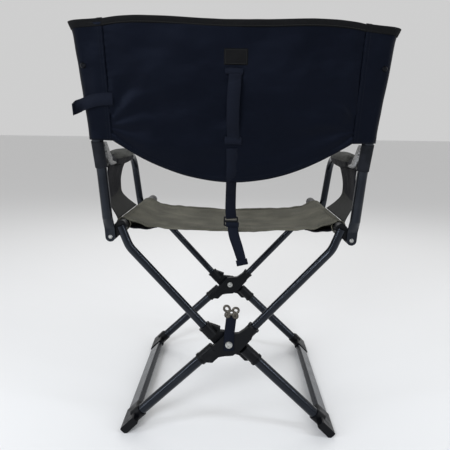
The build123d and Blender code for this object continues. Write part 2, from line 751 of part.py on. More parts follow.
rear_under, front_under = stack + tab_thick + gap, stack + gap
save(Compound(children=[hub_bolt(rear_y, rear_under), hub_bolt(front_y, front_under)]), "hub_bolts")
save(Compound(children=[hub_nut(rear_y), hub_nut(front_y)]), "hub_nuts")
washers = [ring(rear_y, -rear_under - washer_thick - 0.1, -rear_under - 0.1, washer_r, bolt_r + 0.1)]
washers += [ring(front_y, -front_under - washer_thick - 0.1, -front_under - 0.1, washer_r, bolt_r + 0.1)]
washers += [ring(y, -spacer_half, spacer_half, spacer_r, bolt_r + 0.1) for y in (rear_y, front_y)]
save(Compound(children=washers), "hub_washers")
save(keeper_tab(), "keeper_tab")
save(keeper_clip(), "keeper_clip")
save(seat_sling(), "seat_sling")
save(strap_buckle(), "strap_buckle")
save(strap_tail(), "strap_tail")
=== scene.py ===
import json
import math

import bmesh
import bpy
from mathutils import Matrix, Vector, noise


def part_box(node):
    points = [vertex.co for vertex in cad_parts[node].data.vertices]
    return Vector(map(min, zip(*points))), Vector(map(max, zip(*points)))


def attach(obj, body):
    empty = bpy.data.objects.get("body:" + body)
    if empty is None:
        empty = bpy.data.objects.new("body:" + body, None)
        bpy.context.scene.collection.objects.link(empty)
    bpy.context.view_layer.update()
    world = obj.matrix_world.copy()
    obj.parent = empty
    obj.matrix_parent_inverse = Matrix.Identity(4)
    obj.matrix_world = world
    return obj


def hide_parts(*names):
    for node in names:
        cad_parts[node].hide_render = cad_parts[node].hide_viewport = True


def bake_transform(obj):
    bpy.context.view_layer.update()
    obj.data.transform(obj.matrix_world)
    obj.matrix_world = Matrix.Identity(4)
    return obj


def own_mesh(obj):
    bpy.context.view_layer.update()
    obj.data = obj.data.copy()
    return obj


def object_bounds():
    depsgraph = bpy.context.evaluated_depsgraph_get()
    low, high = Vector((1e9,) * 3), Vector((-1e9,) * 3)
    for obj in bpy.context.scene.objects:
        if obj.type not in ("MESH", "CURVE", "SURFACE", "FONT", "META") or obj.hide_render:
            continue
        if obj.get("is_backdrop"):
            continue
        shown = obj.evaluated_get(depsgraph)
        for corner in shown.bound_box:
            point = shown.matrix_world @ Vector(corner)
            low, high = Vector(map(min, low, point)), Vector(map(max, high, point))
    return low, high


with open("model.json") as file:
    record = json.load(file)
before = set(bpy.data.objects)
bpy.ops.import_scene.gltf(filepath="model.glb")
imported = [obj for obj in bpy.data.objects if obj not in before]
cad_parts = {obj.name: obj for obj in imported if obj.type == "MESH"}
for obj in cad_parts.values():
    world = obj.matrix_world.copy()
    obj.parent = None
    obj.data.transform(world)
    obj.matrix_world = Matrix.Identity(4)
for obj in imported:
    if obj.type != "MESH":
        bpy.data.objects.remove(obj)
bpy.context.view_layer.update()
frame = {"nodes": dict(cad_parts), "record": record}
nodes = frame["nodes"]

# ---- places in the frame, in metres: they repeat the part's driving sizes ------------------------
rear_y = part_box("seat_rail_a")[0].y - 0.0125  # plane of the rear pivot's tubes
hinge_x, hinge_z = 0.265, 0.462  # the side frames' rivets
bend_z, hem_z = 0.608, 0.895  # where the posts bend back, and the back's top edge
rail_x, rail_z = 0.243, 0.485  # the seat rails' axes
seam_x = 0.243  # seams between the back panel and its sleeves
seam_low, seam_high = 0.676, 0.880
sleeve_low, sleeve_high = 0.672, 0.885
arm_z = 0.625  # the arms' axes
arm_front_x, arm_rear, arm_run = 0.2855, 0.03, 0.396
post_back = 0.012  # the posts' axes stand behind the rear pivot's plane
low_lean, high_lean, splay = math.radians(5), math.radians(14), math.radians(3.4)
SIDES = {"a": 1, "b": -1}
UPWARD = Vector((0, 0, 1))

# ---- cloth, webbing and thread, in metres --------------------------------------------------------
web_wide, web_thick = 0.0235, 0.0022
sleeve_radius = 0.0125  # the back's sleeves round the posts
rail_cloth_radius = 0.0126  # the seat's sleeves round the rails
off_panel = 0.0108  # how far the flat back cloth stands behind the posts' axes
merge = 0.00002  # points closer than this are one
pad_round, pad_long = 48, 90  # faces round an arm pad's cover and along it
pad_half_wide, pad_half_tall, pad_raise = 0.0158, 0.0168, 0.0035
pad_swell, pad_held = 0.0022, 0.006  # how far a cover may swell, and how much of each end is held
side_columns, side_rows = 60, 36  # faces along a side panel and up it


def lerp(low, high, share):
    """The value at a share of the way from low to high."""
    return low + (high - low) * share


def shares(steps):
    """Even shares from 0 to 1."""
    return [step / steps for step in range(steps + 1)]


def smooth(low, high, value):
    """0 below low, 1 above high, and a smooth step between them."""
    share = min(1.0, max(0.0, (value - low) / (high - low)))
    return share * share * (3 - 2 * share)


def rough(x, y, z, scale, seed=0.0):
    """Smooth noise from -1 to 1 whose bumps are about 1/scale metres across."""
    return noise.noise(Vector((x * scale + seed, y * scale - seed, z * scale + 2 * seed)))


def bumps(size, x, y, z):
    """Smooth noise from -size to size, at a place whose scale the caller chose."""
    return size * noise.noise(Vector((x, y, z)))


def squarer(value, power):
    """A sine or cosine that stays longer near -1 and 1, which makes a circle a rounded box."""
    return math.copysign(abs(value) ** power, value)


def post_y(z):
    """Y of the leaning posts' axis at a height."""
    low = min(z, bend_z) - hinge_z
    high = max(z - bend_z, 0)
    return rear_y - post_back - math.tan(low_lean) * low - math.tan(high_lean) * high


def post_x(z):
    """X of the right post's axis at a height."""
    return hinge_x + math.tan(splay) * (z - hinge_z)


def back_point(x, z, out):
    """A point on the leaning back at height z, out metres behind the posts' axes."""
    up = (z - bend_z + out * math.sin(high_lean)) / math.cos(high_lean)
    y = post_y(bend_z) - up * math.sin(high_lean) - out * math.cos(high_lean)
    return Vector((x, y, z))


def arm_x(y):
    """X of the right arm's axis at a distance along it."""
    return lerp(post_x(arm_z), arm_front_x, (y - rear_y + arm_rear) / arm_run)


# ---- materials -----------------------------------------------------------------------------------
def new_material(name, color, roughness, **sockets):
    """A material with its uniform values set, and its node tree's parts."""
    material = bpy.data.materials.new(name)
    material.use_nodes = True
    tree = material.node_tree
    shader = tree.nodes["Principled BSDF"]
    shader.inputs["Base Color"].default_value = (*color, 1)
    shader.inputs["Roughness"].default_value = roughness
    for socket, value in sockets.items():
        shader.inputs[socket.replace("_", " ")].default_value = value
    return material, tree, shader


def node(tree, kind, inputs=(), **settings):
    """A shader node with its settings, and its inputs set to values or linked to sockets."""
    made = tree.nodes.new(kind)
    for name, value in settings.items():
        setattr(made, name, value)
    for key, value in dict(inputs).items():
        if isinstance(value, bpy.types.NodeSocket):
            tree.links.new(value, made.inputs[key])
        else:
            made.inputs[key].default_value = value
    return made


def noise_value(tree, vector, scale, detail=3.0):
    """A noise texture's value, from 0 to 1."""
    made = node(tree, "ShaderNodeTexNoise", {"Vector": vector, "Scale": scale, "Detail": detail})
    return made.outputs["Fac"]


def math_node(tree, operation, first, second):
    """Two values added or multiplied."""
    return node(tree, "ShaderNodeMath", {0: first, 1: second}, operation=operation).outputs[0]


def ramp(tree, value, low, high, low_out, high_out):
    """Value from low..high to low_out..high_out, held at both ends."""
    inputs = {"Value": value, "From Min": low, "From Max": high, "To Min": low_out, "To Max": high_out}
    return node(tree, "ShaderNodeMapRange", inputs).outputs["Result"]


def mixed_color(tree, share, low, high):
    """A colour between two, or between two sockets' colours."""
    made = node(tree, "ShaderNodeMix", {"Factor": share}, data_type="RGBA")
    for socket, value in ((made.inputs[6], low), (made.inputs[7], high)):
        if isinstance(value, bpy.types.NodeSocket):
            tree.links.new(value, socket)
        else:
            socket.default_value = (*value, 1)
    return made.outputs[2]


def bump(tree, shader, height, distance, strength=1.0):
    """Tilts the shading as if the surface rose by height times distance."""
    made = node(tree, "ShaderNodeBump", {"Height": height, "Distance": distance, "Strength": strength})
    tree.links.new(made.outputs["Normal"], shader.inputs["Normal"])


def feed(tree, shader, color=None, roughness=None):
    """Links worked-out values to the shader's colour and roughness."""
    for socket, value in (("Base Color", color), ("Roughness", roughness)):
        if value is not None:
            tree.links.new(value, shader.inputs[socket])


def reflect(shader, level, tint=(1, 1, 1)):
    """How strongly a surface mirrors, and the colour of what it mirrors."""
    shader.inputs["Specular IOR Level"].default_value = level
    shader.inputs["Specular Tint"].default_value = (*tint, 1)


wave_period = 0.314  # a Wave texture of this scale has one band to a unit
NAVY = (0.50, 0.62, 1.0)  # colour of the sheen on dark cloth and webbing
COOL = (0.75, 0.84, 1.0)  # colour of the sheen on the powder coat


def coated_steel():
    """Black gloss powder coat: faint orange peel, dust and rubbed patches."""
    coat, dusty = (0.002, 0.0025, 0.004), (0.012, 0.013, 0.014)
    material, tree, shader = new_material("coated_steel", coat, 0.2)
    reflect(shader, 0.34, COOL)
    place = node(tree, "ShaderNodeTexCoord").outputs["Object"]
    peel = noise_value(tree, place, 900.0, 2.0)
    wear = noise_value(tree, place, 34.0, 5.0)
    dust = mixed_color(tree, ramp(tree, wear, 0.52, 0.8, 0.0, 0.6), coat, dusty)
    feed(tree, shader, dust, ramp(tree, wear, 0.35, 0.75, 0.12, 0.28))
    bump(tree, shader, peel, 0.00012, 0.5)
    return material


def moulded(name, color, roughness):
    """Fine-grained moulded plastic with scuffs."""
    material, tree, shader = new_material(name, color, roughness)
    reflect(shader, 0.14)
    place = node(tree, "ShaderNodeTexCoord").outputs["Object"]
    grain = noise_value(tree, place, 1700.0, 1.0)
    scuff = noise_value(tree, place, 60.0, 6.0)
    pale = tuple(0.006 + 1.6 * c for c in color)
    tinted = mixed_color(tree, ramp(tree, scuff, 0.55, 0.8, 0.0, 0.5), color, pale)
    feed(tree, shader, tinted, ramp(tree, scuff, 0.4, 0.75, roughness - 0.06, roughness + 0.2))
    bump(tree, shader, grain, 0.00015, 0.6)
    return material


def plated(name, color):
    """Dull zinc plate with brushing and stains."""
    material, tree, shader = new_material(name, color, 0.38, Metallic=0.95)
    place = node(tree, "ShaderNodeTexCoord").outputs["Object"]
    stain = noise_value(tree, place, 260.0, 4.0)
    darker = tuple(0.45 * c for c in color)
    stained = mixed_color(tree, ramp(tree, stain, 0.4, 0.8, 0.0, 1.0), color, darker)
    feed(tree, shader, stained, ramp(tree, stain, 0.3, 0.75, 0.26, 0.6))
    bump(tree, shader, noise_value(tree, place, 1400.0, 2.0), 0.0001, 0.5)
    return material


def bands(tree, vector, pitch, direction):
    """Even bands, one to each pitch in metres, across X or Y of the UVs."""
    inputs = {"Vector": vector, "Scale": wave_period / pitch}
    return node(tree, "ShaderNodeTexWave", inputs, bands_direction=direction).outputs["Fac"]


def weave(
    name, dark, light, pitch, roughness, heather=0.5, grime=0.3, depth=0.00025, shine=0.12, sheen=(1, 1, 1)
):
    """Plain-woven cloth on UVs in metres: threads over and under, with uneven yarn colour."""
    material, tree, shader = new_material(name, dark, roughness)
    reflect(shader, shine, sheen)
    flat = node(tree, "ShaderNodeTexCoord").outputs["UV"]
    warp = bands(tree, flat, pitch, "X")
    weft = bands(tree, flat, pitch, "Y")
    over = node(tree, "ShaderNodeTexChecker", {"Vector": flat, "Scale": 1 / pitch}).outputs["Fac"]
    height = node(tree, "ShaderNodeMix", {"Factor": over, "A": warp, "B": weft}).outputs[0]
    yarn = noise_value(tree, flat, 0.55 / pitch, 2.0)
    patches = noise_value(tree, flat, 14.0, 5.0)
    fleck = math_node(tree, "MULTIPLY", ramp(tree, yarn, 0.38, 0.66, 0.0, 1.0), heather)
    shade = math_node(tree, "ADD", fleck, math_node(tree, "MULTIPLY", height, 0.35 * (1 - heather)))
    worn = math_node(tree, "ADD", shade, ramp(tree, patches, 0.4, 0.75, 0.0, grime))
    rubbed = ramp(tree, patches, 0.3, 0.7, roughness - 0.08, roughness + 0.1)
    feed(tree, shader, mixed_color(tree, worn, dark, light), rubbed)
    relief = math_node(tree, "ADD", height, math_node(tree, "MULTIPLY", yarn, 0.6))
    bump(tree, shader, relief, depth, 0.7)
    return material


def ribbed(name, dark, light, rib=0.0022, yarn=0.0014):
    """Webbing: ribs across its length, fine lengthwise yarns, on UVs in metres (V along the strap)."""
    material, tree, shader = new_material(name, dark, 0.62)
    reflect(shader, 0.10, NAVY)
    flat = node(tree, "ShaderNodeTexCoord").outputs["UV"]
    ribs = math_node(tree, "MULTIPLY", bands(tree, flat, rib, "Y"), 0.8)
    lengthwise = math_node(tree, "MULTIPLY", bands(tree, flat, yarn, "X"), 0.5)
    fuzz = noise_value(tree, flat, 700.0, 3.0)
    height = math_node(tree, "ADD", ribs, lengthwise)
    height = math_node(tree, "ADD", height, fuzz)
    feed(tree, shader, mixed_color(tree, ramp(tree, height, 0.6, 1.9, 0.0, 1.0), dark, light))
    bump(tree, shader, height, 0.0003, 0.7)
    return material


def foam():
    """Closed-cell foam sleeve: matte and finely pitted."""
    material, tree, shader = new_material("foam", (0.006, 0.007, 0.01), 0.85)
    reflect(shader, 0.2)
    place = node(tree, "ShaderNodeTexCoord").outputs["Object"]
    pits = node(tree, "ShaderNodeTexVoronoi", {"Vector": place, "Scale": 700.0}).outputs["Distance"]
    patches = noise_value(tree, place, 50.0, 4.0)
    fresh, faded = (0.002, 0.003, 0.005), (0.008, 0.009, 0.013)
    feed(tree, shader, mixed_color(tree, ramp(tree, patches, 0.35, 0.7, 0.0, 1.0), fresh, faded))
    bump(tree, shader, pits, 0.0003, 0.6)
    return material


steel = coated_steel()
plastic = moulded("moulded_black", (0.0022, 0.0026, 0.0036), 0.38)
metal = plated("zinc", (0.52, 0.52, 0.50))
clip_metal = plated("clip_metal", (0.11, 0.10, 0.085))
stud_metal = plated("stud_metal", (0.012, 0.013, 0.016))
fine_pitch, plain_pitch, mesh_pitch = 0.0009, 0.0012, 0.0022
back_weave = weave(
    "back_weave", (0.0002, 0.0003, 0.0010), (0.0012, 0.0018, 0.0042), fine_pitch, roughness=0.38,
    heather=0.3, grime=0.2, depth=0.00012, shine=0.13, sheen=NAVY,
)
hem_weave = weave(
    "hem_weave", (0.0006, 0.0007, 0.0011), (0.0050, 0.0052, 0.0060), plain_pitch, roughness=0.55,
    heather=0.6, grime=0.25, depth=0.0002, shine=0.09,
)
seat_weave = weave(
    "seat_weave", (0.036, 0.036, 0.028), (0.19, 0.182, 0.145), plain_pitch, roughness=0.85,
    heather=0.55, grime=0.5, depth=0.0004,
)
side_weave = weave(
    "side_weave", (0.014, 0.0145, 0.015), (0.075, 0.075, 0.07), plain_pitch, roughness=0.85,
    heather=0.6, grime=0.25,
)
pad_weave = weave(
    "pad_weave", (0.030, 0.031, 0.029), (0.13, 0.13, 0.12), plain_pitch, roughness=0.85,
    heather=0.6, grime=0.25,
)
lining = weave(
    "lining", (0.0022, 0.0024, 0.0045), (0.013, 0.0135, 0.020), fine_pitch, roughness=0.7,
    heather=0.4, grime=0.2,
)
mesh_weave = weave(
    "mesh_weave", (0.10, 0.10, 0.10), (0.62, 0.62, 0.62), mesh_pitch, roughness=0.8,
    heather=0.7, grime=0.2, depth=0.0006,
)
strap_weave = ribbed("strap_weave", (0.0012, 0.0016, 0.0035), (0.010, 0.0115, 0.017))
thread = moulded("thread", (0.012, 0.014, 0.020), 0.6)
thread_pale = moulded("thread_pale", (0.05, 0.05, 0.046), 0.7)
foam_black = foam()


# ---- mesh builders -------------------------------------------------------------------------------
def mesh_object(name, points, faces, uvs, material):
    """A smooth-shaded mesh with UVs in metres, one per point."""
    mesh = bpy.data.meshes.new(name)
    mesh.from_pydata([tuple(p) for p in points], [], faces)
    layer = mesh.uv_layers.new(name="UVMap")
    for loop in mesh.loops:
        layer.data[loop.index].uv = uvs[loop.vertex_index]
    mesh.materials.append(material)
    for face in mesh.polygons:
        face.use_smooth = True
    made = bpy.data.objects.new(name, mesh)
    bpy.context.scene.collection.objects.link(made)
    return made


def grid(name, columns, rows, place, size, material, closed=False):
    """A surface place(u, v), u and v from 0 to 1, with UVs up to size; closed joins it to itself in u."""
    points, uvs = [], []
    for row in range(rows + 1):
        for column in range(columns + 1):
            u, v = column / columns, row / rows
            points.append(place(u % 1.0 if closed else u, v))
            uvs.append((u * size[0], v * size[1]))
    stride = columns + 1
    faces = []
    for row in range(rows):
        for column in range(columns):
            first = row * stride + column
            faces.append((first, first + 1, first + 1 + stride, first + stride))
    return mesh_object(name, points, faces, uvs, material)


def weld(made):
    """Joins the points where a closed surface meets itself."""
    modifier = made.modifiers.new("weld", "WELD")
    modifier.merge_threshold = merge
    return made


def thicken(made, thickness, offset=0.0):
    """Gives a sheet its thickness; offset 0 keeps it about its middle."""
    modifier = made.modifiers.new("thickness", "SOLIDIFY")
    modifier.thickness = thickness
    modifier.offset = offset
    return made


def inflate(made, limit, held, steps=20):
    """Swells a cover by cloth simulation, held where held(point) is true and moved no more than limit."""
    work = bmesh.new()
    work.from_mesh(made.data)
    bmesh.ops.remove_doubles(work, verts=work.verts, dist=merge)
    work.to_mesh(made.data)
    work.free()
    before = [vertex.co.copy() for vertex in made.data.vertices]
    pins = made.vertex_groups.new(name="held")
    pins.add([index for index, point in enumerate(before) if held(point)], 1.0, "REPLACE")
    modifier = made.modifiers.new("cloth", "CLOTH")
    settings = modifier.settings
    settings.quality = 6
    settings.use_pressure = True
    settings.uniform_pressure_force = 4
    settings.tension_stiffness = 12
    settings.compression_stiffness = 12
    settings.bending_stiffness = 0.4
    settings.effector_weights.gravity = 0
    settings.vertex_group_mass = "held"
    for step in range(1, steps + 1):
        bpy.context.scene.frame_set(step)
    grown = made.evaluated_get(bpy.context.evaluated_depsgraph_get())
    after = [vertex.co.copy() for vertex in grown.data.vertices]
    made.modifiers.remove(modifier)
    made.vertex_groups.remove(pins)
    bpy.context.scene.frame_set(1)
    for vertex, old, new in zip(made.data.vertices, before, after):
        move = new - old
        if move.length > limit:
            move *= limit / move.length
        vertex.co = old + move
    return made


def distances(line):
    """Distance along a line to each of its points."""
    lengths = [0.0]
    for near, far in zip(line, line[1:]):
        lengths.append(lengths[-1] + (far - near).length)
    return lengths


def spline(knots, steps):
    """Points along a smooth curve through the knots."""
    ends = [2 * knots[0] - knots[1], *knots, 2 * knots[-1] - knots[-2]]
    line = []
    for before, first, second, after in zip(ends, ends[1:], ends[2:], ends[3:]):
        for step in range(steps):
            t = step / steps
            near = 2 * first + (second - before) * t
            bend = (2 * before - 5 * first + 4 * second - after) * t * t
            far = (3 * first - before - 3 * second + after) * t * t * t
            line.append((near + bend + far) / 2)
    line.append(knots[-1])
    return line


def strap(name, line, width, thickness, material, across=Vector((1, 0, 0)), twist=None):
    """Webbing along a line: rounded selvedges, ribs by UV, and an optional twist(share) in radians."""
    half, thin = width / 2, thickness / 2
    edge = thin * 0.8
    profile = [(-half + edge, thin), (0, thin * 1.08), (half - edge, thin), (half, 0)]
    profile += [(half - edge, -thin), (0, -thin * 1.08), (-half + edge, -thin), (-half, 0)]
    lengths = distances(line)
    points, uvs, faces = [], [], []
    for index, place in enumerate(line):
        ahead = line[min(index + 1, len(line) - 1)] - line[max(index - 1, 0)]
        ahead.normalize()
        side = across - ahead * across.dot(ahead)
        side.normalize()
        face = side.cross(ahead)
        if twist:
            angle = twist(lengths[index] / lengths[-1])
            turned = side * math.cos(angle) + face * math.sin(angle)
            face = face * math.cos(angle) - side * math.sin(angle)
            side = turned
        for a, b in profile:
            wobble = 0.0004 * rough(place.x + a, place.y, place.z, 55.0, a * 100)
            points.append(place + side * a + face * (b + wobble))
            uvs.append((a, lengths[index]))
    count = len(profile)
    for row in range(len(line) - 1):
        for column in range(count):
            following = (column + 1) % count
            first, second = row * count + column, row * count + following
            faces.append((first, first + count, second + count, second))
    faces.append(tuple(range(count)))
    faces.append(tuple(reversed(range(len(points) - count, len(points)))))
    return mesh_object(name, points, faces, uvs, material)


def stitches(name, line, material, length=0.0032, space=0.0018, radius=0.00045):
    """A row of thread stitches that lie on a line."""
    lengths = distances(line)
    points, uvs, faces = [], [], []
    at, index = space / 2, 0
    while at + length < lengths[-1]:
        ends = []
        for where in (at, at + length):
            while lengths[index + 1] < where:
                index += 1
            share = (where - lengths[index]) / (lengths[index + 1] - lengths[index])
            ends.append(line[index].lerp(line[index + 1], share))
        ahead = (ends[1] - ends[0]).normalized()
        one = ahead.orthogonal().normalized()
        two = ahead.cross(one)
        middle = (ends[0] + ends[1]) / 2
        base = len(points)
        for side, up in ((1, 0), (0, 1), (-1, 0), (0, -1)):
            points.append(middle + (one * side + two * up) * radius)
        points += ends
        uvs += [(0, 0)] * 6
        for corner in range(4):
            following = (corner + 1) % 4
            faces.append((base + 4, base + corner, base + following))
            faces.append((base + 5, base + following, base + corner))
        at += length + space
    return mesh_object(name, points, faces, uvs, material)


def on_back_sling(made):
    """The back cloth: rises with the sling."""
    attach(made, "back_sling")
    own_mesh(made)
    return made


def on_seat(made):
    """The seat cloth: its placement baked into its points."""
    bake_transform(made)
    return made


# ---- frame parts that stay as built --------------------------------------------------------------
HARD = {
    "frame_steel": steel,
    "moulded_plastic": plastic,
    "zinc_steel": metal,
    "grip_foam": foam_black,
    "webbing": strap_weave,
    "seat_cloth": seat_weave,
    "side_cloth": side_weave,
    "back_cloth": back_weave,
    "hem_cloth": hem_weave,
}
for part in frame["record"]["subparts"]:
    shown = nodes[part["node"]]
    shown.data.materials.clear()
    shown.data.materials.append(HARD[part["material_slot"]])
    shown.data.polygons.foreach_set("use_smooth", [True] * len(shown.data.polygons))
    shown.data.set_sharp_from_angle(angle=math.radians(32))
for name in SIDES:
    nodes[f"sleeve_stud_{name}"].data.materials[0] = stud_metal


# ---- back cloth ----------------------------------------------------------------------------------
def top_edge(x):
    """Height of the back's top edge: lower in the middle and at the corners, and hung a little askew."""
    panel_half, sleeve_wide = 0.244, 0.062
    share = min(abs(x) / panel_half, 1.0) ** 2
    drop = 0.006 * max(0.0, (abs(x) - panel_half) / sleeve_wide)
    askew = 0.011 * x
    return hem_z + 0.0155 * share - 0.0195 * share * share - drop - askew


def low_edge(x):
    """Height of the back panel's curved bottom edge, lowest in the middle."""
    return 0.589 + 1.43 * x * x


def panel_out(x, z):
    """How far the back cloth stands behind the posts' axes."""
    share = abs(x) / seam_x
    height = (z - low_edge(x)) / (top_edge(x) - low_edge(x))
    billow = 0.0045 * (1 - share * share) * math.sin(math.pi * min(1, max(0, height)))
    folds = bumps(0.0066, x * 5.0 + z * 3.0, z * 9.0 - x * 2.0, 3.1)
    folds += bumps(0.0038, x * 14.0 - z * 6.0, z * 22.0, 7.7)
    folds += bumps(0.0009, x * 34.0, z * 55.0, 1.9)
    folds *= smooth(0.0, 0.12, 1 - share)
    # drag lines fan out from the seams' lower ends
    corner_x, corner_z = abs(x) - seam_x, z - 0.70
    angle = math.atan2(corner_z, -corner_x + 0.01)
    reach = math.hypot(corner_x, corner_z)
    drag = 0.0015 * math.sin(angle * 11) * math.exp(-((reach - 0.06) / 0.06) ** 2)
    hem = 0.0009 * (1 - smooth(0.009, 0.012, z - low_edge(x)))
    pucker = 0.0004 * math.sin(z * 2 * math.pi / 0.013) * math.exp(-(seam_x - abs(x)) / 0.008)
    return off_panel + billow + folds + drag + hem + pucker


def panel_place(u, v):
    """The back panel's middle surface, from seam to seam and from its curved edge to the binding."""
    x = lerp(-seam_x - 0.001, seam_x + 0.001, u)
    z = lerp(low_edge(x), top_edge(x) - 0.003, v)
    return back_point(x, z, panel_out(x, z))


panel = thicken(grid("back_cloth", 120, 84, panel_place, (0.488, 0.30), back_weave), 0.0028)
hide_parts("back_panel")
on_back_sling(panel)


def panel_line(low_x, high_x, height, lift=0.0019, steps=160):
    """A line across the panel, at the height that height(x) gives."""
    line = []
    for share in shares(steps):
        x = lerp(low_x, high_x, share)
        z = height(x)
        line.append(back_point(x, z, panel_out(x, z) + lift))
    return line


for index, inset in enumerate((0.0035, 0.0095)):
    row = panel_line(-0.236, 0.236, lambda x, inset=inset: low_edge(x) + inset)
    made = stitches(f"low_hem_stitch_{index}", row, thread)
    on_back_sling(made)


def binding_place(u, v):
    """Bound top edge of the panel: a soft rounded band."""
    x = lerp(-seam_x - 0.0015, seam_x + 0.0015, v)
    angle = 2 * math.pi * u
    wave = 0.0005 * rough(x, 0, math.cos(angle) * 0.01, 60, 4.0)
    thick = 0.0034 + wave
    tall = 0.0066
    out = panel_out(x, top_edge(x) - 0.006) + thick * squarer(math.cos(angle), 0.6)
    z = top_edge(x) - 0.0062 + tall * squarer(math.sin(angle), 0.6)
    return back_point(x, z + 0.0003 * rough(x, 0, 0, 30, 1.0), out)


binding = weld(grid("top_binding", 20, 150, binding_place, (0.032, 0.488), hem_weave, closed=True))
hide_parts("top_hem")
on_back_sling(binding)
row = panel_line(-seam_x, seam_x, lambda x: top_edge(x) - 0.0105, 0.0041)
made = stitches("binding_stitch", row, thread_pale)
on_back_sling(made)


def sleeve_ring(u, height, grow, x_push=0.0):
    """A point round a right-hand sleeve: flat from the seam to the post, then round the post and back."""
    middle = lerp(sleeve_low, sleeve_high, height)
    post = post_x(middle)
    flare = 0.0018 * smooth(0.9, 1.0, height) + 0.0012 * (1 - smooth(0, 0.12, height))
    radius = sleeve_radius + flare + grow
    flat, arc = 0.36, 0.28  # shares of the way round: each flat side, and the bend round the post
    if u < flat:
        share = u / flat
        x = lerp(seam_x - grow, post, share)
        out = lerp(sleeve_radius + grow * 0.5, radius, smooth(0.3, 1, share))
    elif u < flat + arc:
        angle = math.pi * ((u - flat) / arc - 0.5)
        x = post + radius * math.cos(angle)
        out = -radius * math.sin(angle)
    else:
        share = (u - flat - arc) / (1 - flat - arc)
        x = lerp(post, seam_x - grow, share)
        out = lerp(-radius, 0.0082 - grow * 0.5, smooth(0.1, 1, share))
    return x + x_push * smooth(post, post + 0.02, x), out


pucker_reach = 0.010  # a seam's puckers fade out over this distance


def seam_pucker(z, side):
    """How far the stitching draws a sleeve in and out along its seam."""
    return 0.0004 * math.sin(z * 2 * math.pi / 0.014 + side)


def sleeve_place(side, high):
    """The surface of the sleeve on a side, from its lower edge to a share of its height."""
    def place(u, v):
        height = lerp(0, high, v)
        x, out = sleeve_ring(u, height, 0.0)
        z = lerp(sleeve_low + 0.03 * (x - seam_x), top_edge(side * x) - 0.002, height)
        near_seam = math.exp(-abs(x - seam_x) / pucker_reach)
        out += seam_pucker(z, side) * near_seam * (1 if u < 0.5 else 0.4)
        out += bumps(0.0026 * (1 - near_seam), x * 18 * side, z * 22, u * 3 + 5)
        x += bumps(0.0008, u * 6, z * 30, 9.0 * side)
        return back_point(side * x, z, out)
    return place


for name, side in SIDES.items():
    body = f"side_frame_{name}"
    place = sleeve_place(side, 0.985)
    sleeve = weld(grid(f"sleeve_cloth_{name}", 64, 56, place, (0.13, 0.215), back_weave, closed=True))
    thicken(sleeve, 0.0016)
    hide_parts(f"back_sleeve_{name}")
    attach(sleeve, body)

    def cap_place(u, v, side=side):
        """Bound top of a sleeve: the band, then its closed top."""
        band_share = 0.6
        climb = min(v / band_share, 1)
        x, out = sleeve_ring(u, lerp(0.945, 1.0, climb), 0.0012, lerp(0.0005, 0.0042, climb))
        closing = smooth(band_share, 1.0, v)
        edge = top_edge(side * x)
        z = lerp(edge - 0.0125, edge + 0.0005, climb) + 0.0012 * closing
        out = lerp(out, 0.0102 if x < seam_x + 0.01 else 0.0, closing * 0.97)
        out += bumps(0.0006, x * 60, z * 60, side * 4.0)
        return back_point(side * x, z, out)

    cap = weld(grid(f"sleeve_binding_{name}", 64, 14, cap_place, (0.14, 0.03), hem_weave, closed=True))
    thicken(cap, 0.0012)
    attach(cap, body)

    for index, (inset, lift) in enumerate(((0.0028, 0.0012), (0.0085, 0.0014))):
        row = []
        for share in shares(120):
            z = lerp(seam_low, seam_high, share)
            lifted = lift + seam_pucker(z, side) * math.exp(-inset / pucker_reach)
            row.append(back_point(side * (seam_x + inset), z, sleeve_radius + lifted))
        made = stitches(f"seam_stitch_{index}_{name}", row, thread)
        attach(made, body)


# ---- straps on the back --------------------------------------------------------------------------
def back_line(knots, steps=14):
    """A smooth line through (x, z, distance off the panel) knots."""
    placed = [back_point(x, z, panel_out(x, z) + off) for x, z, off in knots]
    return spline(placed, steps)


def flat_patch(name, x, z, wide, tall, lift, material):
    """A sewn patch on the back panel: soft corners and a stitched outline."""
    def place(u, v):
        px = x + (u - 0.5) * wide
        pz = z + (v - 0.5) * tall
        rim = min(u, 1 - u, v, 1 - v)
        puff = lift * smooth(-0.01, 0.06, rim)
        return back_point(px, pz, panel_out(px, pz) + 0.0012 + puff)
    made = thicken(grid(name, 24, 18, place, (wide, tall), material), 0.0012, -1)
    on_back_sling(made)
    inset = 0.003
    corners = [(-1, -1), (1, -1), (1, 1), (-1, 1), (-1, -1)]
    outline = []
    for (a0, b0), (a1, b1) in zip(corners, corners[1:]):
        for step in range(24):
            px = x + lerp(a0, a1, step / 24) * (wide / 2 - inset)
            pz = z + lerp(b0, b1, step / 24) * (tall / 2 - inset)
            outline.append(back_point(px, pz, panel_out(px, pz) + 0.0016 + lift))
    outline.append(outline[0])
    made = stitches(name + "_stitch", outline, thread_pale, 0.0024, 0.0014, 0.0003)
    on_back_sling(made)


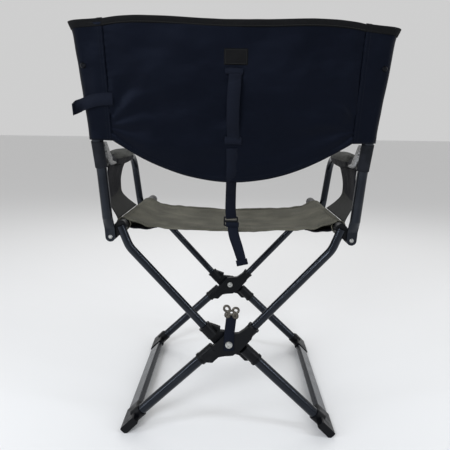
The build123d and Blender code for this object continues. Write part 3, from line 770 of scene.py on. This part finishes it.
handle_x = 0.002
flat_patch("handle_patch", handle_x + 0.003, 0.8315, 0.046, 0.030, 0.0012, hem_weave)
handle_knots = [
    (handle_x + 0.003, 0.812, 0.0030),
    (handle_x + 0.002, 0.800, 0.0060),
    (handle_x + 0.001, 0.780, 0.0150),
    (handle_x - 0.001, 0.745, 0.0185),
    (handle_x - 0.001, 0.712, 0.0145),
    (handle_x, 0.690, 0.0050),
    (handle_x, 0.674, 0.0030),
]
handle = strap("handle_webbing", back_line(handle_knots), 0.0250, 0.0024, strap_weave)
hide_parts("carry_handle")
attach(handle, "back_sling")
end_half, end_off = 0.017, 0.0047
for index, (z, tall) in enumerate(((0.806, 0.012), (0.676, 0.016))):
    end_knots = [
        (handle_x - end_half, z, end_off),
        (handle_x, z, 0.0054),
        (handle_x + end_half, z - 0.001, end_off),
    ]
    keeper = strap(f"handle_end_{index}", back_line(end_knots, 8), tall, web_thick, strap_weave, UPWARD)
    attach(keeper, "back_sling")

buckle_low, buckle_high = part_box("strap_buckle")
buckle_mid = (buckle_low + buckle_high) / 2
lumbar_knots = [
    back_point(0, 0.660, panel_out(0, 0.66) + 0.0018),
    back_point(0.0005, 0.63, panel_out(0, 0.63) + 0.0022),
    back_point(0.0, 0.598, panel_out(0, 0.6) + 0.002),
    Vector((-0.001, rear_y - 0.006, 0.556)),
    Vector((-0.001, rear_y + 0.007, 0.524)),
    Vector((0.001, buckle_mid.y - 0.0005, buckle_mid.z + 0.006)),
]


def lumbar_twist(share):
    """The strap turns a little in the middle, in radians."""
    return 0.35 * math.sin(math.pi * share)


lumbar_line = spline(lumbar_knots, 14)
lumbar = strap("lumbar_webbing", lumbar_line, web_wide, web_thick, strap_weave, twist=lumbar_twist)
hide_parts("lumbar_strap")
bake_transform(lumbar)

tail_knots = [
    Vector((0.004, buckle_mid.y + 0.001, buckle_mid.z - 0.004)),
    Vector((0.007, rear_y + 0.010, 0.468)),
    Vector((0.0165, rear_y + 0.004, 0.440)),
    Vector((0.0235, rear_y + 0.003, 0.417)),
    Vector((0.028, rear_y + 0.006, 0.401)),
]


def tail_twist(share):
    """The loose end turns more and more towards its end, in radians."""
    return -0.5 * share


tail = strap("strap_end", spline(tail_knots, 12), web_wide, web_thick, strap_weave, twist=tail_twist)
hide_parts("strap_tail")
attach(tail, "pivots")
fold_middle = tail_knots[-1] + Vector((-0.0016, -0.0022, 0.0050))
fold_half = Vector((0.0125, 0, 0.0030))
fold_line = [fold_middle - fold_half, fold_middle, fold_middle + fold_half]
wrap_line = [Vector((x, buckle_low.y - 0.0015, buckle_mid.z - 0.007)) for x in (-0.011, 0.003, 0.018)]
for name, line, tall in (("strap_fold", fold_line, 0.014), ("buckle_wrap", wrap_line, 0.011)):
    wrap = strap(name, spline(line, 6), tall, web_thick, strap_weave, UPWARD)
    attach(wrap, "pivots")

closure_knots = [
    back_point(-0.234, 0.7525, 0.0150),
    back_point(-0.252, 0.752, 0.0165),
    back_point(-0.272, 0.749, 0.0172),
    back_point(-0.290, 0.743, 0.0150),
    back_point(-0.302, 0.739, 0.0120),
    back_point(-0.309, 0.734, 0.0180),
    back_point(-0.3115, 0.731, 0.0260),
]
drooping = Vector((0.15, 0, 1))
closure = strap("closure_webbing", spline(closure_knots, 10), 0.0245, 0.0018, strap_weave, drooping)
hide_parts("closure_strap")
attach(closure, "side_frame_b")


# ---- seat ----------------------------------------------------------------------------------------
seat_half = rail_x - 0.005
seat_low = 0.472  # the seat's height in the middle, before it sags
seat_rear, seat_front = rear_y + 0.027, rear_y + 0.353


def seat_height(x, v):
    """Sagging seat: lowest in the middle, drawn up over the rails at both sides."""
    base = seat_low + 0.26 * x * x + 0.0122 * smooth(0.185, seat_half, abs(x))
    across = 1 - (x / seat_half) ** 2
    base += across * (0.001 * v - 0.008 * math.sin(math.pi * v))
    base += bumps(0.0034, x * 8, v * 7, 1.4) * across
    base += bumps(0.0016, x * 24 + v * 3, v * 11, 6.4)
    base += bumps(0.0005, x * 80, v * 34, 2.4)
    # creases run in from the free edges, next to the rails
    for near in (v, 1 - v):
        base += 0.0015 * math.sin(abs(x) * 160 + v * 3) * math.exp(-near * 12) * smooth(0.08, 0.22, abs(x))
    return base


def seat_place(u, v):
    """The seat cloth's top, from rail to rail and from rear to front; its free edges curve inwards."""
    x = lerp(-seat_half, seat_half, u)
    across = 1 - (x / seat_half) ** 2
    y = lerp(seat_rear + 0.009 * across, seat_front - 0.008 * across, v)
    return Vector((x, y, seat_height(x, v) + 0.0006))


seat = thicken(grid("seat_cloth", 120, 72, seat_place, (0.49, 0.326), seat_weave), 0.0026, -1)
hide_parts("seat_sling")
on_seat(seat)
for end, base_v in (("rear", 0.0), ("front", 1.0)):
    toward = 1 if base_v == 0 else -1

    def hem_place(u, v, base_v=base_v, toward=toward):
        """Folded hem that wraps a free edge of the seat."""
        angle = 2 * math.pi * v
        x = lerp(-seat_half, seat_half, u)
        middle = seat_place(u, base_v) + Vector((0, toward * 0.0075, -0.0012))
        wave = 0.0003 * rough(x, v, 0, 45, 2.0)
        y = 0.0092 * squarer(math.cos(angle), 0.7)
        z = (0.0030 + wave) * squarer(math.sin(angle), 0.8)
        return middle + Vector((0, y, z))

    hem = weld(grid(f"seat_hem_{end}", 120, 16, hem_place, (0.49, 0.04), seat_weave))
    on_seat(hem)
    for index, inset in enumerate((0.0035, 0.0125)):
        row = []
        for share in shares(160):
            row.append(seat_place(share, base_v) + Vector((0, toward * inset, 0.0020)))
        made = stitches(f"seat_stitch_{end}_{index}", row, thread_pale)
        on_seat(made)

for name, side in SIDES.items():
    low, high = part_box(f"seat_sleeve_{name}")

    def rail_place(u, v, side=side, low=low, high=high):
        """Cloth round a seat rail, rolled thicker at both ends."""
        angle = 2 * math.pi * u
        roll = 0.0016 * (math.exp(-v * 60) + math.exp(-(1 - v) * 60))
        uneven = bumps(0.0007, math.cos(angle) * 2, math.sin(angle) * 2, v * 14 + side)
        radius = rail_cloth_radius + roll + uneven
        y = lerp(low.y + 0.001, high.y - 0.001, v) + 0.0015 * math.cos(angle * 2 + side)
        return Vector((side * rail_x + radius * math.cos(angle), y, rail_z + radius * math.sin(angle)))

    rail_cloth = grid(f"rail_cloth_{name}", 40, 80, rail_place, (0.08, 0.326), seat_weave, closed=True)
    weld(rail_cloth)
    thicken(rail_cloth, 0.0022, -1)
    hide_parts(f"seat_sleeve_{name}")
    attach(rail_cloth, f"frame_{name}")


# dark sheets hung under the seat's corners: painted shade under the seat, drawn in the lining colour
shade_sheet_outer, shade_sheet_inner, shade_sheet_long = 0.006, 0.075, 0.060
for name, side in SIDES.items():
    for end, end_y, toward in (("rear", seat_rear, 1), ("front", seat_front, -1)):
        def shade_sheet_place(u, v, side=side, end_y=end_y, toward=toward):
            """Dark sheet under a corner of the seat, from the rail's cloth inwards: painted shade under
            the seat.
            """
            x = lerp(rail_x - shade_sheet_outer, rail_x - shade_sheet_inner, u)
            y = end_y + toward * lerp(0.004, shade_sheet_long, v)
            fall = lerp(0.0185, 0.0030, smooth(0, 1, u))
            share = min(1.0, abs(y - seat_rear) / (seat_front - seat_rear))
            return Vector((side * x, y, seat_height(x, share) - fall - 0.002 * math.sin(math.pi * u)))

        # the dark lining colour on this sheet is painted shade under the seat
        shade_sheet = grid(f"seat_shade_sheet_{end}_{name}", 24, 16, shade_sheet_place, (0.07, 0.056), lining)
        thicken(shade_sheet, 0.0022)
        on_seat(shade_sheet)


# ---- side panels and arm pads --------------------------------------------------------------------
def along_knots(knots, share):
    """Value at a share on the smooth curve through (share, value) knots."""
    total = 0.0
    for index, (place, value) in enumerate(knots):
        weight = 1.0
        for other, (elsewhere, _) in enumerate(knots):
            if other != index:
                weight *= (share - elsewhere) / (place - elsewhere)
        total += weight * value
    return total


front_edge_knots = [(0, 0.245), (0.25, 0.190), (0.55, 0.157), (1, 0.222)]  # share of the height, y
lining_row, lining_column, lining_curve = 13, 20, 0.004  # where the side cloth's dark lining begins
tab_behind, tab_ahead = 0.010, 0.060  # an arm tab's reach behind and ahead of the rear pivot's plane
tab_top, tab_front_top = 0.668, 0.636
for name, side in SIDES.items():
    def panel_side(u, v, side=side):
        """Cloth from the seat rail up to the arm, slack and creased."""
        rear_edge = lerp(0.030, 0.024, smooth(0, 0.4, v))
        front_edge = along_knots(front_edge_knots, v)
        y = rear_y + lerp(rear_edge, front_edge, u)
        bottom, top = rail_x + 0.0105, arm_x(y) - 0.003
        z = lerp(rail_z + 0.0105, arm_z - 0.010, v)
        bow = 0.004 * math.sin(math.pi * v) * math.sin(math.pi * u)
        x = lerp(bottom, top, smooth(-0.10, 0.42, v)) + bow
        x += bumps(0.0034, y * 10, z * 16, side * 3.0) * math.sin(math.pi * v)
        x += bumps(0.0006, y * 60, z * 50, side * 5.0)
        return Vector((side * x, y, z))

    cloth = grid(f"side_cloth_{name}", side_columns, side_rows, panel_side, (0.3, 0.12), side_weave)
    thicken(cloth, 0.0024)
    cloth.data.materials.append(lining)
    for face in cloth.data.polygons:
        row, column = divmod(face.index, side_columns)
        face.material_index = 1 if row > lining_row + lining_curve * (column - lining_column) ** 2 else 0
    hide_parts(f"side_panel_{name}")
    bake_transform(cloth)

    low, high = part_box(f"arm_pad_{name}")

    def pad_place(u, v, side=side, low=low, high=high):
        """Padded cover round the arm: full in the middle and gathered at both ends."""
        angle = 2 * math.pi * u
        y = lerp(low.y, high.y, v)
        drawn_in = min(smooth(-0.10, 0.07, v), smooth(-0.08, 0.06, 1 - v))
        full = drawn_in * (0.90 + 0.16 * math.sin(math.pi * v))
        gather = math.exp(-v * 22) + math.exp(-(1 - v) * 22)
        crease = 0.0009 * math.sin(angle * 9 + side) * gather
        puff = bumps(0.0013, math.cos(angle) * 1.6, math.sin(angle) * 1.6, v * 9 + side)
        radius_x = pad_half_wide * full + puff + crease
        radius_z = pad_half_tall * full + puff + crease
        x = side * arm_x(y) + radius_x * math.cos(angle)
        return Vector((x, y, arm_z + pad_raise + radius_z * math.sin(angle)))

    def in_pad_end(point, low=low, high=high):
        return point.y < low.y + pad_held or point.y > high.y - pad_held

    pad = grid(f"pad_cover_{name}", pad_round, pad_long, pad_place, (0.1, 0.25), pad_weave, closed=True)
    pad.data.materials.append(lining)
    for face in pad.data.polygons:
        underneath = face.index % pad_round >= pad_round // 2
        face.material_index = 1 if underneath else 0
    inflate(pad, pad_swell, in_pad_end)
    points = [vertex.co for vertex in pad.data.vertices]
    for edge, turn in (("in", 0.5), ("out", 0.0)):
        row = []
        for step in range(4, pad_long - 3):
            aim = pad_place(turn, step / pad_long)
            nearest = min(points, key=lambda point: (point - aim).length_squared)
            away = Vector((nearest.x - side * arm_x(nearest.y), 0, 0)).normalized()
            row.append(nearest + away * 0.0006)
        seam = stitches(f"pad_seam_{edge}_{name}", row, thread_pale)
        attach(seam, f"side_frame_{name}")
    thicken(pad, 0.0016, -1)
    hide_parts(f"arm_pad_{name}")
    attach(pad, f"side_frame_{name}")

    def tab_place(u, v, side=side):
        """Padded gusset between the post's grip and the arm."""
        y = rear_y + lerp(-tab_behind, tab_ahead, u)
        top = lerp(tab_top, tab_front_top, smooth(0.25, 1, u))
        z = lerp(arm_z - lerp(0.002, 0.007, smooth(0, 0.5, u)), top, v)
        x = lerp(0.2625, 0.2740, v) + 0.002 * u + 0.0006 * rough(0, y, z, 90, side)
        return Vector((side * x, y, z))

    def wrap_place(u, v, side=side, low=low):
        """Dark cloth wrapped round the arm between the post and the pad."""
        angle = 2 * math.pi * u
        y = lerp(rear_y - 0.008, low.y + 0.004, v)
        radius = 0.0128 + bumps(0.0005, u * 7, v * 12, side * 2.0)
        return Vector((side * arm_x(y) + radius * math.cos(angle), y, arm_z + radius * math.sin(angle)))

    wrap = weld(grid(f"arm_wrap_{name}", 32, 24, wrap_place, (0.08, 0.08), lining, closed=True))
    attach(wrap, f"side_frame_{name}")
    tab = thicken(grid(f"tab_cloth_{name}", 28, 16, tab_place, (0.07, 0.04), mesh_weave), 0.006)
    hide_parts(f"arm_tab_{name}")
    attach(tab, f"side_frame_{name}")


# ---- keeper at the rear pivot --------------------------------------------------------------------
tab_low, tab_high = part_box("keeper_tab")
tab_y = (tab_low.y + tab_high.y) / 2
keeper_knots = [
    Vector((0, tab_y, tab_low.z)),
    Vector((0, tab_y, 0.220)),
    Vector((0.001, tab_y + 0.001, 0.245)),
    Vector((0.003, tab_y, 0.267)),
    Vector((0.005, tab_y - 0.0012, 0.287)),
]
keeper = strap("keeper_webbing", spline(keeper_knots, 8), web_wide, 0.0040, strap_weave)
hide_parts("keeper_tab")
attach(keeper, "pivots")


def ring_line(middle, wide, tall, turn=0.0, steps=28):
    """A closed oval in the keeper's plane."""
    line = []
    for step in range(steps + 1):
        angle = 2 * math.pi * step / steps
        a, b = wide * math.cos(angle), tall * math.sin(angle)
        x, z = a * math.cos(turn) - b * math.sin(turn), a * math.sin(turn) + b * math.cos(turn)
        line.append(middle + Vector((x, 0.0006 * math.sin(angle * 2), z)))
    return line


def round_rod(name, line, radius, material, sides=10):
    """A round rod along a line."""
    points, uvs, faces = [], [], []
    for index, place in enumerate(line):
        ahead = (line[min(index + 1, len(line) - 1)] - line[max(index - 1, 0)]).normalized()
        one = Vector((0, 1, 0))
        one = (one - ahead * one.dot(ahead)).normalized()
        two = ahead.cross(one)
        for corner in range(sides):
            angle = 2 * math.pi * corner / sides
            points.append(place + (one * math.cos(angle) + two * math.sin(angle)) * radius)
            uvs.append((corner * 0.001, index * 0.001))
    for row in range(len(line) - 1):
        for corner in range(sides):
            following = (corner + 1) % sides
            first, second = row * sides + corner, row * sides + following
            faces.append((first, second, second + sides, first + sides))
    return mesh_object(name, points, faces, uvs, material)


clip_low, clip_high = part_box("keeper_clip")
clip_mid = (clip_low + clip_high) / 2
# x and z off the clip's middle, half width, half height, turn in radians and the rod's radius
loops = {
    "clip_loop_left": (-0.0095, 0.0080, 0.0060, 0.0070, 0.7, 0.0027),
    "clip_loop_right": (0.0105, 0.0045, 0.0064, 0.0058, -0.3, 0.0027),
    "clip_eye": (0.0010, -0.0010, 0.0056, 0.0046, 0.2, 0.0024),
    "clip_lobe_left": (-0.0080, -0.0065, 0.0036, 0.0040, 0.0, 0.0040),
    "clip_lobe_right": (0.0095, -0.0080, 0.0036, 0.0048, 0.4, 0.0040),
}
for name, (x, z, wide, tall, turn, thick) in loops.items():
    loop = round_rod(name, ring_line(clip_mid + Vector((x, 0, z)), wide, tall, turn), thick, clip_metal)
    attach(loop, "pivots")
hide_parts("keeper_clip")


# ---- studio --------------------------------------------------------------------------------------
def area_light(name, place, aim, size, power, color=(1, 1, 1)):
    """A rectangular light of a size in metres and a power in watts, turned to face aim."""
    light = bpy.data.lights.new(name, "AREA")
    light.shape = "RECTANGLE"
    light.size, light.size_y = size
    light.energy = power
    light.color = color
    made = bpy.data.objects.new(name, light)
    made.location = place
    made.rotation_euler = (Vector(aim) - Vector(place)).to_track_quat("-Z", "Y").to_euler()
    bpy.context.scene.collection.objects.link(made)


floor_half = 60.0
corners = [Vector((x * floor_half, y * floor_half, 0)) for x, y in ((-1, -1), (1, -1), (1, 1), (-1, 1))]
floor_material = new_material("floor", (0.78, 0.78, 0.78), 0.95)[0]
floor = mesh_object("floor", corners, [(0, 1, 2, 3)], [(0, 0)] * 4, floor_material)
floor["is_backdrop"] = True

world = bpy.data.worlds.new("studio")
bpy.context.scene.world = world
world.use_nodes = True
background = world.node_tree.nodes["Background"]
background.inputs["Color"].default_value = (1.0, 1.0, 1.0, 1)
background.inputs["Strength"].default_value = 0.62
daylight, cool = (0.90, 0.94, 1.0), (0.86, 0.92, 1.0)
area_light("key", (-0.9, -2.6, 1.7), (0, 0, 0.6), (0.9, 0.7), 42, daylight)
area_light("left strip", (-1.9, -1.1, 1.2), (0, 0, 0.5), (0.10, 1.6), 14, cool)
area_light("right strip", (1.9, -0.9, 1.5), (0, 0, 0.5), (0.12, 1.6), 14, cool)
area_light("back", (0.2, 2.0, 2.2), (0, 0, 0.3), (2.4, 1.0), 22)

camera_data = bpy.data.cameras.new("photo_view")
camera_data.sensor_width = 36  # millimetres
camera_data.lens = 38.9  # millimetres
camera = bpy.data.objects.new("photo_view", camera_data)
bpy.context.scene.collection.objects.link(camera)
yaw, pitch, roll = math.radians(-0.80), math.radians(10.76), math.radians(0.80)
ahead = Vector((math.sin(yaw) * math.cos(pitch), math.cos(yaw) * math.cos(pitch), -math.sin(pitch)))
level = Vector((math.cos(yaw), -math.sin(yaw), 0))
up = level.cross(ahead)
right = level * math.cos(roll) + up * math.sin(roll)
camera_x, camera_away, camera_height = 0.0020, 1.0508, 0.691
camera.location = (camera_x, rear_y - camera_away, camera_height)
camera_up = right.cross(ahead)
camera.rotation_euler = Matrix((right, camera_up, -ahead)).transposed().to_euler()
bpy.context.scene.camera = camera
bpy.context.scene.view_settings.view_transform = "Standard"

low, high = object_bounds()
